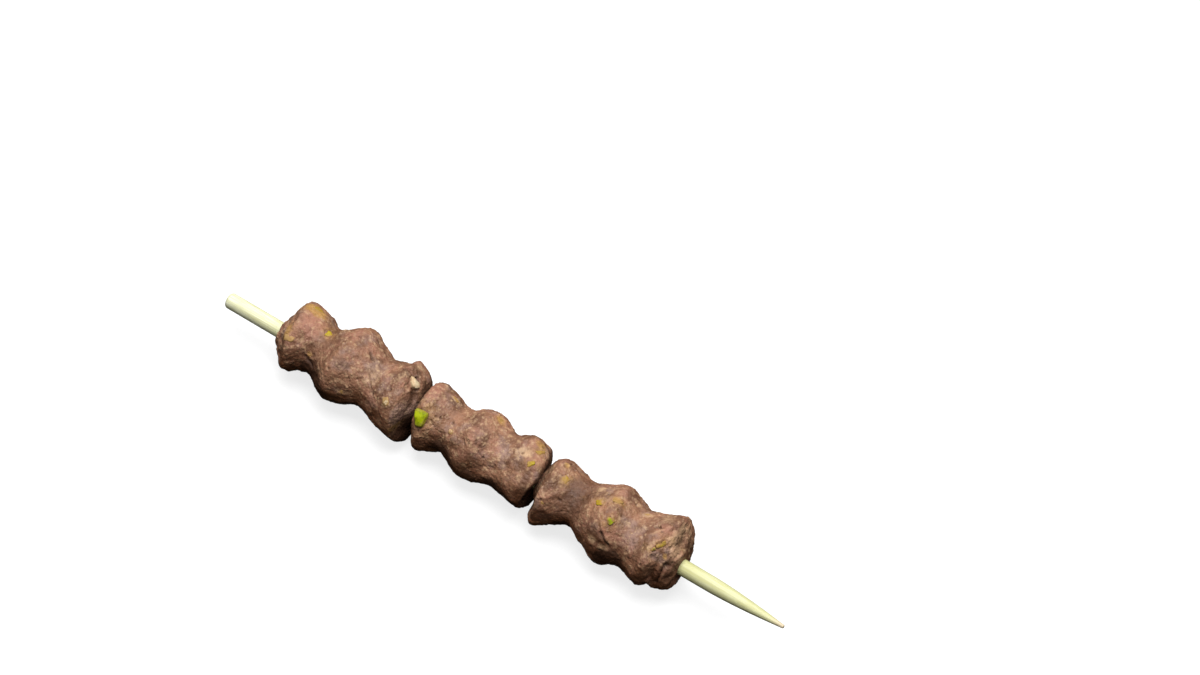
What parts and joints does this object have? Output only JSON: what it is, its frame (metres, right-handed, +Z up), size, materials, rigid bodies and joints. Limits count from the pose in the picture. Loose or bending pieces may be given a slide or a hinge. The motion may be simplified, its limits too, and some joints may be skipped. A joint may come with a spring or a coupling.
{
  "type": "kibbeh skewer",
  "caption": "Pinched pieces of browned ground meat with nuts and herbs, threaded end to end on a round bamboo stick, lying down.",
  "frame": {"origin": "on the surface that the skewer lies on, under the middle of its bounding box", "axes": "+X along the stick towards its point, +Z up from the surface"},
  "size_m": [0.2, 0.0258, 0.0237],
  "materials": {
    "bamboo": "smooth, pale",
    "ground_meat": "rough, slightly moist"
  },
  "bodies": {
    "root": {"bamboo_stick": "bamboo", "kibbeh_handle_end": "ground_meat", "kibbeh_middle": "ground_meat", "kibbeh_point_end": "ground_meat"}
  },
  "joints": []
}
